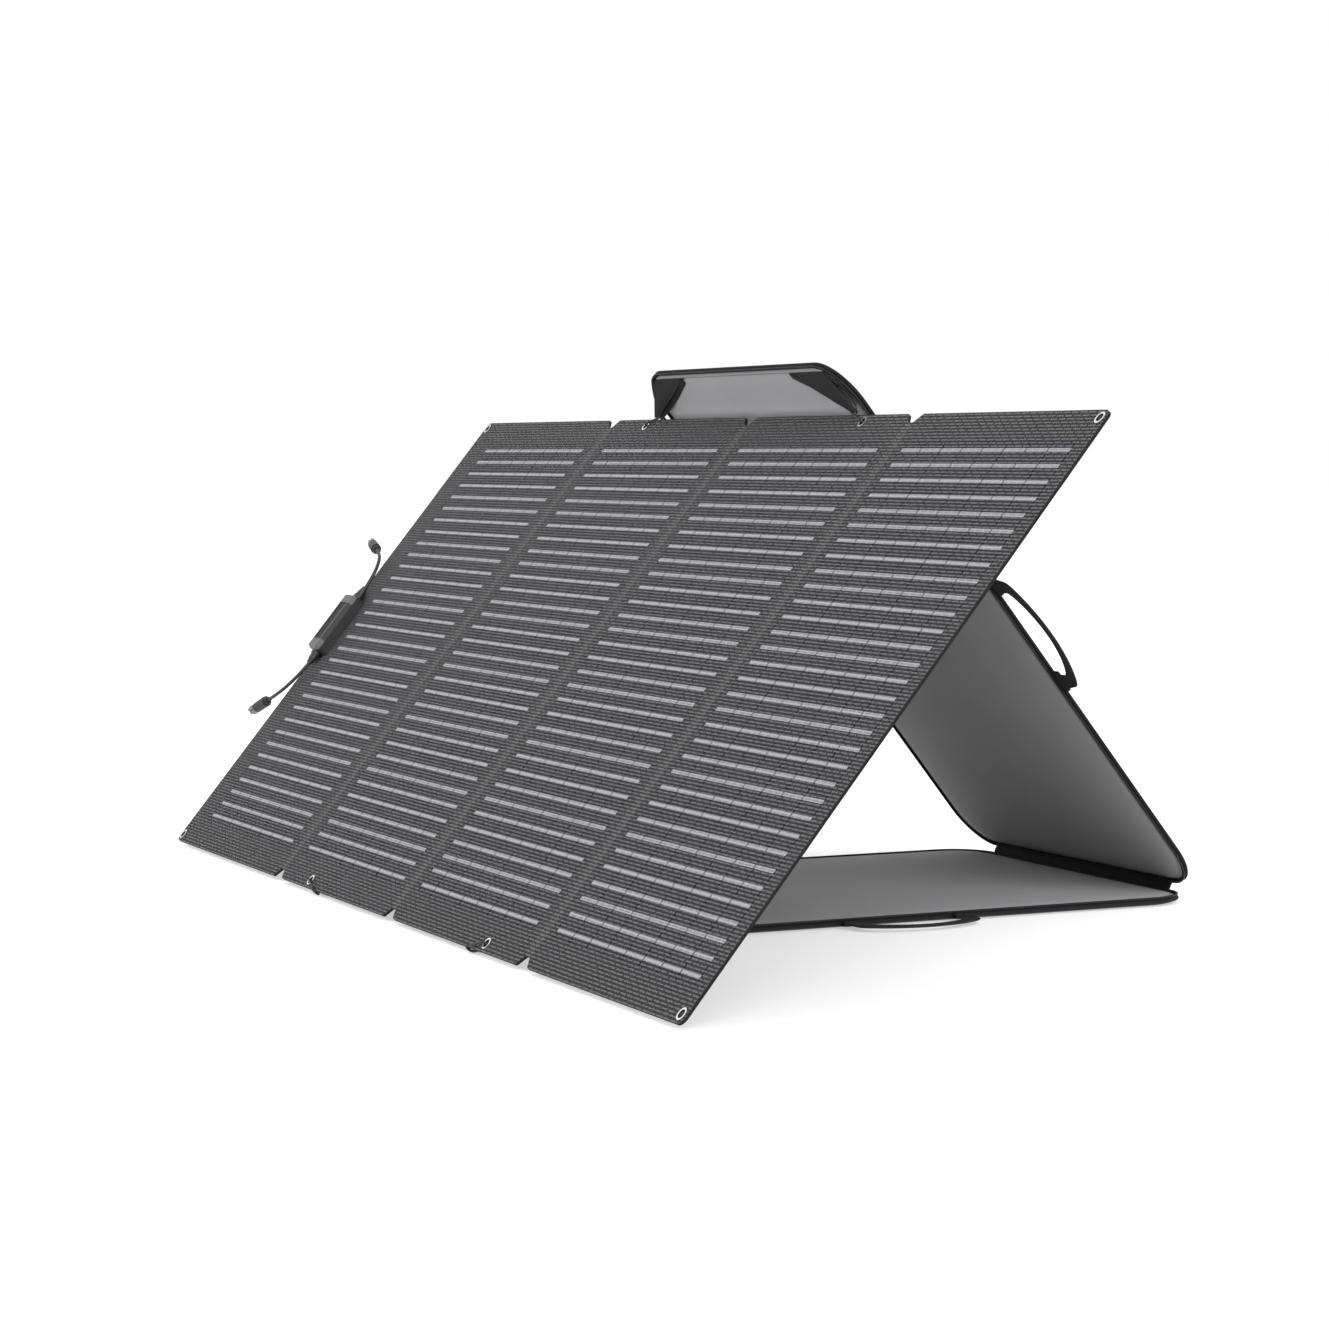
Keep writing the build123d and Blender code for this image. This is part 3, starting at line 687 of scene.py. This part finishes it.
def boardEdge(inset, step=0.004):
    # closed outline of a board drawn in by inset: straight sides joined by quarter circles
    half, near, far = case["halfWidth"] - inset, case["near"] + inset, case["far"] - inset
    corner = case["corner"] - inset
    turns = []
    centres = ((half - corner, near + corner), (half - corner, far - corner),
               (-half + corner, far - corner), (-half + corner, near + corner))
    for start, (x, s) in zip((-90, 0, 90, 180), centres):
        angle = np.radians(start + np.linspace(0, 90, 25))
        turns.append(np.stack((x + corner * np.cos(angle), s + corner * np.sin(angle), np.zeros(25)), -1))
    loop = np.concatenate(turns + [turns[0][:1]])
    length = runLength(loop)
    return resample(loop, int(length[-1] / step) + 1)


def sweepLoop(name, loop, outline, lay, finish):
    # a profile of (out, z) points carried round a closed path: place = path + out * its outward normal
    ahead = np.roll(loop[:-1], -1, 0) - np.roll(loop[:-1], 1, 0)
    outward = unit(np.stack((ahead[:, 1], -ahead[:, 0]), -1))
    path = loop[:-1]
    x = path[:, None, 0] + outward[:, None, 0] * outline[None, :, 0]
    s = path[:, None, 1] + outward[:, None, 1] * outline[None, :, 0]
    z = np.broadcast_to(outline[None, :, 1], x.shape)
    points = lay(x, s, z)
    rows, columns = x.shape
    faces = gridFaces(rows + 1, columns, 0, True) % (rows * columns)
    around = np.broadcast_to(np.linspace(0, 0.02, columns)[None], x.shape)
    along = np.broadcast_to(runLength(loop)[:-1, None], x.shape)
    return addMesh(name, points, faces, finish, np.stack((along, around), -1))


def ringProfile(radius, out, z, count=12):
    angle = np.linspace(0, 2 * math.pi, count, endpoint=False)
    return np.stack((out + radius * np.cos(angle), z + radius * np.sin(angle)), -1)


def flatProfile(out, z, width, thick):
    return np.array(((out - width / 2, z - thick / 2), (out + width / 2, z - thick / 2),
                     (out + width / 2, z + thick / 2), (out - width / 2, z + thick / 2)))


zipper = {
    "cord": 0.0023, "cordZ": 0.0065, "cordInset": 0.0025,
    "tapeThick": 0.0011, "tapeHeight": 0.0056, "tapeZ": 0.0032, "tapeInset": 0.0038,
    "toothPitch": 0.0026, "toothInset": 0.0024, "toothZ": 0.0014, "toothHalf": (0.0008, 0.0014, 0.0007),
    "toothTop": 0.6,
}


def fixNormals(piece):
    mesh = piece.data
    work = bmesh.new()
    work.from_mesh(mesh)
    bmesh.ops.recalc_face_normals(work, faces=work.faces)
    work.to_mesh(mesh)
    work.free()


def teeth(name, loop, lay, z):
    # zipper teeth: blocks set square to the edge, one each tooth pitch, narrower on their outer side
    path = resample(loop, int(runLength(loop)[-1] / zipper["toothPitch"]) + 1)
    ahead = unit(np.roll(path[:-1], -1, 0) - np.roll(path[:-1], 1, 0))[:, :2]
    outward = np.stack((ahead[:, 1], -ahead[:, 0]), -1)
    narrow = zipper["toothTop"]
    block = np.array([(a, b, c) for c in (-1, 1) for a, b in ((-1, -1), (1, -1), (narrow, 1), (-narrow, 1))])
    shape = block * np.array(zipper["toothHalf"])
    flat = path[:-1, None, :2] + ahead[:, None] * shape[None, :, 0:1] + outward[:, None] * shape[None, :, 1:2]
    height = np.broadcast_to(z + shape[None, :, 2], flat.shape[:2])
    points = lay(flat[..., 0], flat[..., 1], height)
    one = np.array(((0, 1, 2, 3), (7, 6, 5, 4), (0, 4, 5, 1), (1, 5, 6, 2), (2, 6, 7, 3), (3, 7, 4, 0)))
    faces = (one[None] + np.arange(len(points))[:, None, None] * 8).reshape(-1, 4)
    return addMesh(name, points, faces, "zipTeeth", smooth=False)


for board, body, lay in (("base", "case_base", onBase), ("back", "case_back", onBack)):
    # lining: face height = face + sink * exp(-gap / soft), with slow waves under 0.5 mm away from the edge
    x, s, gap = roundedGrid(case["liningInset"], *case["grid"])
    waves = np.sin(x * 17 + 1.3) * np.sin(s * 11 + 0.4) * case["liningWave"]
    waves = waves + np.sin(x * 41 - s * 29) * case["liningCrease"]
    face = case["liningFace"] + case["liningSink"] * np.exp(-gap / case["liningSoft"])
    face = face + waves * np.clip(gap / case["calmEdge"], 0, 1)
    uv = np.stack((x, s), -1)
    back = np.full_like(x, case["liningBack"])
    lining = closedSheet(board + "_lining_pad", lay(x, s, face), lay(x, s, back), uv, "liningFabric")
    fixNormals(lining)
    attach(lining, body)
    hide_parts(board + "_lining")

    # cover: outer face falls by soft * exp(-gap / reach) toward its edge, inner face steps over the core
    x, s, gap = roundedGrid(case["coverInset"], *case["grid"])
    outer = case["coverOut"] - case["coverSoft"] * np.exp(-gap / case["coverReach"])
    inner = case["coverIn"] - case["coverStep"] * np.exp(-(gap / case["stepReach"]) ** 2)
    uv = np.stack((x, s), -1)
    cover = closedSheet(board + "_cover", lay(x, s, outer), lay(x, s, inner), uv, "coverFabric")
    fixNormals(cover)
    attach(cover, body)
    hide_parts(board + "_shell")

    # zipper edge: a round cord, an upright tape and a row of teeth
    ring = ringProfile(zipper["cord"], 0, zipper["cordZ"])
    upright = flatProfile(0, zipper["tapeZ"], zipper["tapeThick"], zipper["tapeHeight"])
    cord = sweepLoop(board + "_zip_cord", boardEdge(zipper["cordInset"]), ring, lay, "tapeFabric")
    tape = sweepLoop(board + "_zip_tape", boardEdge(zipper["tapeInset"]), upright, lay, "tapeFabric")
    row = teeth(board + "_zip_teeth", boardEdge(zipper["toothInset"]), lay, zipper["toothZ"])
    for piece in (cord, tape, row):
        fixNormals(piece)
        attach(piece, body)
    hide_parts(board + "_piping")

    # border stitching on the outside and along the lining's edge
    rows = ((0.016, case["coverOut"] - 0.0002, 1), (0.0105, case["liningFace"] + 0.0013, -1))
    for number, (inset, z, out) in enumerate(rows):
        loop = boardEdge(inset)
        path = lay(loop[:, 0], loop[:, 1], z)
        normal = lay(0.0, 0.0, out) - lay(0.0, 0.0, 0.0)
        thread = stitches("%s_stitch_%d" % (board, number), path, normal)
        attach(thread, body)
print("case boards covered")


# spine between the boards
spine = {
    "half": 0.230, "thick": 0.0012, "lap": 0.010, "ripple": 0.0003, "columns": 61,
    "outer": 0.0118, "outerBulge": 0.0075, "inner": 0.0026, "innerBulge": 0.0035,
}


def spineBand(name, depth, bulge):
    # a quadratic curve from the base's rear edge, out past the hinge, up to the back board's lower edge
    low = onBase(0.0, spine["lap"], depth)
    high = onBack(0.0, spine["lap"], depth)
    hinge = np.array((0.0, kit["hingeY"], kit["hingeHeight"]))
    outward = unit((low + high) / 2 - hinge)
    middle = (low + high) / 2 + outward * bulge
    q = np.linspace(0, 1, 33)[:, None]
    path = (1 - q) ** 2 * low + 2 * q * (1 - q) * middle + q ** 2 * high
    tangent = unit(np.gradient(path, axis=0))
    normal = np.cross(tangent, (1.0, 0.0, 0.0))
    x = np.linspace(-spine["half"], spine["half"], spine["columns"])[None, :, None] * np.array((1.0, 0, 0))
    along = np.sin(np.linspace(-40, 40, spine["columns"]))[None, :, None]
    ripple = spine["ripple"] * along * np.sin(q * math.pi)[:, None]
    sheet = path[:, None] + x + normal[:, None] * ripple
    half = normal[:, None] * spine["thick"] / 2
    uv = np.stack(np.broadcast_arrays(x[..., 0], runLength(path)[:, None]), -1)
    piece = closedSheet(name, sheet + half, sheet - half, uv, "tapeFabric")
    fixNormals(piece)
    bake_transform(piece)
    return piece


spineOuter = spineBand("spine_outer", spine["outer"], spine["outerBulge"])
spineBand("spine_inner", spine["inner"], spine["innerBulge"])
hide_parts("spine")


# carry handles
handle = {
    "low": 0.352, "high": 0.536, "shoulder": 0.030, "bow": 0.056, "band": 0.011, "slant": 0.006,
    "anchor": 0.024, "thick": 0.0038, "axis": 0.306, "depth": 0.0065, "clear": 0.013, "rim": 0.00015,
    "groove": 0.16, "grooveAt": 0.62, "grooveWidth": 0.07, "sunk": 0.84, "bowPoints": 61, "risePoints": 22,
    "tab": 0.030, "tabThick": 0.0012, "tabReach": 0.0068, "tabRadius": 0.0026, "tabTuck": 0.004,
}


def arc(half, bow, count):
    # circular arc through the two ends and the top of the bow, as out and along
    radius = (half ** 2 + bow ** 2) / (2 * bow)
    reach = math.asin(half / radius)
    angle = np.linspace(-reach, reach, count)
    return np.stack((bow - radius + radius * np.cos(angle), radius * np.sin(angle)), -1)


def handleLine(startAt, shoulder, half, bow):
    # out from the board, along a bow and back, its two corners softened by a running mean
    middle = (handle["low"] + handle["high"]) / 2
    curved = arc(half, bow, handle["bowPoints"]) + np.array((shoulder, 0.0))
    first = np.linspace((0.0, startAt - middle), curved[0], handle["risePoints"], endpoint=False)
    line = np.concatenate((first, curved, first[::-1] * np.array((1, -1))))
    padded = np.concatenate((np.repeat(line[:1], 4, 0), line, np.repeat(line[-1:], 4, 0)))
    soft = np.stack([np.convolve(padded[:, axis], np.ones(9) / 9, "valid") for axis in range(2)], -1)
    soft[0], soft[-1] = line[0], line[-1]
    return soft + np.array((0.0, middle))


for board, body, lay in (("base", "base_handle", onBase), ("back", "back_handle", onBack)):
    # band between an outer and an inner line, rounded off at both edges, with two pressed grooves
    half = (handle["high"] - handle["low"]) / 2
    sweep = handle["bow"] - handle["shoulder"]
    outer = handleLine(handle["low"], handle["shoulder"], half - handle["slant"], sweep)
    inner = handleLine(handle["low"] + handle["anchor"], handle["shoulder"] - handle["band"],
                       half - handle["anchor"], sweep)
    u = (1 - np.cos(np.linspace(0, math.pi, 15)))[None, :, None] / 2
    flat = inner[:, None] * (1 - u) + outer[:, None] * u
    x = handle["axis"] + flat[..., 0]
    s = flat[..., 1]
    off = 2 * u[..., 0] - 1
    swell = np.sqrt(np.clip(1 - off ** 4, 0, 1)) * np.ones_like(x)
    ridge = 1 - handle["groove"] * np.exp(-((np.abs(off) - handle["grooveAt"]) / handle["grooveWidth"]) ** 2)
    raised = handle["rim"] + handle["thick"] / 2 * swell * ridge
    uv = np.stack((np.broadcast_to(runLength(np.pad(outer, ((0, 0), (0, 1))))[:, None], x.shape),
                   np.broadcast_to(u[..., 0] * handle["band"], x.shape)), -1)
    grip = closedSheet(board + "_handle_band", lay(x, s, handle["depth"] - raised),
                       lay(x, s, handle["depth"] + raised), uv, "webbing")
    fixNormals(grip)
    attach(grip, body)
    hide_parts(board + "_handle")
    for number, share in enumerate((0.19, 0.81)):
        line = inner * (1 - share) + outer * share
        sewn = line[line[:, 0] > handle["clear"]]
        for face in (-1, 1):
            z = handle["depth"] + face * (handle["thick"] / 2 * handle["sunk"])
            path = lay(handle["axis"] + sewn[:, 0], sewn[:, 1], z)
            normal = lay(0.0, 0.0, float(face)) - lay(0.0, 0.0, 0.0)
            thread = stitches("%s_handle_stitch_%d_%d" % (board, number, (face + 1) // 2), path, normal)
            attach(thread, body)

    # tabs sewn to the board, folded round the band's two ends
    tabBody = "case_base" if board == "base" else "case_back"
    for end, low in enumerate((handle["low"], handle["high"] - handle["anchor"])):
        # U-shaped fold: straight from the edge, half round the band's end, and straight back
        turn = np.linspace(-math.pi / 2, math.pi / 2, 13)
        tuck, radius = handle["tabTuck"], handle["tabRadius"]
        bend = np.stack((handle["tabReach"] + radius * np.cos(turn) * 0.9, radius * np.sin(turn)), -1)
        profile = np.concatenate(([(-tuck, -radius), (0.0, -radius)], bend, [(0.0, radius), (-tuck, radius)]))
        x = case["halfWidth"] + profile[:, 0]
        s = np.full(len(x), low + handle["anchor"] / 2)
        path = lay(x, s, handle["depth"] + profile[:, 1])
        across = lay(0.0, 1.0, 0.0) - lay(0.0, 0.0, 0.0)
        tab = band("%s_tab_%d" % (board, end), resample(path, 40), np.broadcast_to(across, (40, 3)),
                   handle["tab"], handle["tabThick"], "webbing")
        fixNormals(tab)
        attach(tab, tabBody)
    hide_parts(board + "_handle_anchors")
print("handles sewn")


# hanger flaps, hanger webbing and ground straps
flap = {
    "hem": 0.8740, "apex": 0.820, "hemIn": 0.160, "hemOut": 0.256, "apexIn": 0.290, "apexOut": 0.306,
    "face": 0.0006, "fall": 0.0135, "thick": 0.0014, "belly": 0.0020, "seams": (0.05, 0.95),
}
hanger = {
    "width": 0.012, "thick": 0.0014, "root": 0.0012, "lift": 0.0120, "late": 5, "taper": 0.35,
    "inset": 0.006, "tuck": 0.003, "past": 0.001, "bow": 0.008, "bowShares": (-0.5, 1),
}
outOfBack = onBack(0.0, 0.0, -1.0) - onBack(0.0, 0.0, 0.0)
for side, where in ((-1, "left"), (1, "right")):
    # a four-cornered sheet, hem to apex, bellied by sin(pi q) * sin(pi u)
    q = np.linspace(0, 1, 41)[:, None]
    u = np.linspace(0, 1, 31)[None, :]
    x = side * ((flap["hemIn"] * (1 - u) + flap["hemOut"] * u) * (1 - q)
                + (flap["apexIn"] * (1 - u) + flap["apexOut"] * u) * q)
    s = flap["hem"] + (flap["apex"] - flap["hem"]) * q + 0 * u
    z = flap["face"] - flap["fall"] * q - flap["belly"] * np.sin(q * math.pi) * np.sin(u * math.pi)
    top, under = onBack(x, s, z - flap["thick"] / 2), onBack(x, s, z + flap["thick"] / 2)
    sheet = closedSheet("flap_" + where, top, under, np.stack((x, s), -1), "flapFabric")
    fixNormals(sheet)
    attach(sheet, "case_back")
    if side < 0:
        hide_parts("hanger_flaps")
    for number, edge in enumerate(flap["seams"]):
        hemX = side * (flap["hemIn"] * (1 - edge) + flap["hemOut"] * edge)
        apexX = side * (flap["apexIn"] * (1 - edge) + flap["apexOut"] * edge)
        t = np.linspace(0.03, 0.97, 40)
        belly = flap["belly"] * np.sin(t * math.pi) * math.sin(edge * math.pi)
        lift = flap["face"] - flap["fall"] * t - belly
        s = flap["hem"] + (flap["apex"] - flap["hem"]) * t
        path = onBack(hemX + (apexX - hemX) * t, s, lift - 0.0008)
        thread = stitches("flap_stitch_%s_%d" % (where, number), path, outOfBack)
        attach(thread, "case_back")

    # straps behind the flap's two edges: they hug the lining, then leave it by lift * t^late
    t = np.linspace(0, 1, 50)
    ends = ((flap["hemIn"] + hanger["inset"], flap["apexIn"]),
            (flap["hemOut"], flap["apexOut"] - hanger["inset"]))
    for number, (hemX, apexX) in enumerate(ends):
        bow = hanger["bow"] * np.sin(t * math.pi) * hanger["bowShares"][number]
        x = side * (hemX + (apexX - hemX) * t + bow)
        s = flap["hem"] - hanger["tuck"] + (flap["apex"] + hanger["past"] - flap["hem"]) * t
        path = onBack(x, s, -hanger["root"] - hanger["lift"] * t ** hanger["late"])
        lie = np.broadcast_to(unit(onBack(0.8 * side, 0.5, -0.2) - onBack(0.0, 0.0, 0.0)), path.shape)
        strap = band("hanger_strap_%s_%d" % (where, number), path, lie,
                     hanger["width"] * (1 - hanger["taper"] * t), hanger["thick"], "webbing")
        fixNormals(strap)
        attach(strap, "case_back")
        if side < 0 and number == 0:
            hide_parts("hanger_webbing")

ground = {
    "x": 0.284, "front": -0.5785, "root": -0.4366, "width": 0.019, "thick": 0.0016, "rest": 0.0012,
    "wave": 0.0022, "tailPoints": 12, "tailLift": 0.0018, "tailShare": 0.98,
    "seamHalf": 0.007, "seamBack": 0.003, "seamLift": 0.0041,
}
for side, where in ((-1, "left"), (1, "right")):
    # webbing along the ground: straight plan, with waves that die out at both ends, and a turned-back tail
    t = np.linspace(0, 1, 80)
    y = ground["root"] + (ground["front"] - ground["root"]) * t
    height = ground["rest"] + ground["wave"] * np.sin(t * math.pi) ** 2 * (0.5 + 0.5 * np.sin(t * 9))
    path = np.stack((np.full_like(t, side * ground["x"]), y, height), -1)
    strap = band("ground_strap_" + where, path, np.broadcast_to((1.0, 0, 0), path.shape),
                 ground["width"], ground["thick"], "webbing")
    tail = path[-ground["tailPoints"]:] + np.array((0, 0, ground["tailLift"]))
    turned = band("ground_tail_" + where, tail, np.broadcast_to((1.0, 0, 0), tail.shape),
                  ground["width"] * ground["tailShare"], ground["thick"], "webbing")
    seam = np.array([(side * ground["x"] + end * ground["seamHalf"], tail[0, 1] - ground["seamBack"],
                      ground["seamLift"]) for end in (-1, 1)])
    thread = stitches("ground_stitch_" + where, seam, (0.0, 0.0, 1.0))
    for piece in (strap, turned, thread):
        fixNormals(piece)
        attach(piece, "case_base")
    if side < 0:
        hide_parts("bottom_straps")
print("flaps and straps hung")


# floor
floorLook = {"glow": 0.45, "low": (0.60, 0.60, 0.60), "high": (0.62, 0.62, 0.62), "half": 40, "drop": 0.0003}
floorFinish = Finish("floor", Specular_IOR_Level=0.1, Emission_Color=(1, 1, 1, 1),
                     Emission_Strength=floorLook["glow"])
floorSpot = floorFinish.place()[-1]
floorShade = floorFinish.noise(floorSpot, 2.0)
floorFinish.drive("Base Color", floorFinish.blend(floorShade, floorLook["low"], floorLook["high"]))
floorFinish.drive("Roughness", 0.8 + floorFinish.noise(floorSpot, 30.0) * 0.1)
finishes["floor"] = floorFinish.material
reach = np.linspace(-floorLook["half"], floorLook["half"], 5)
floorGrid = np.stack(np.broadcast_arrays(reach[None, :], reach[:, None], -floorLook["drop"]), -1)
floor = addMesh("floor", floorGrid, gridFaces(5, 5), "floor")
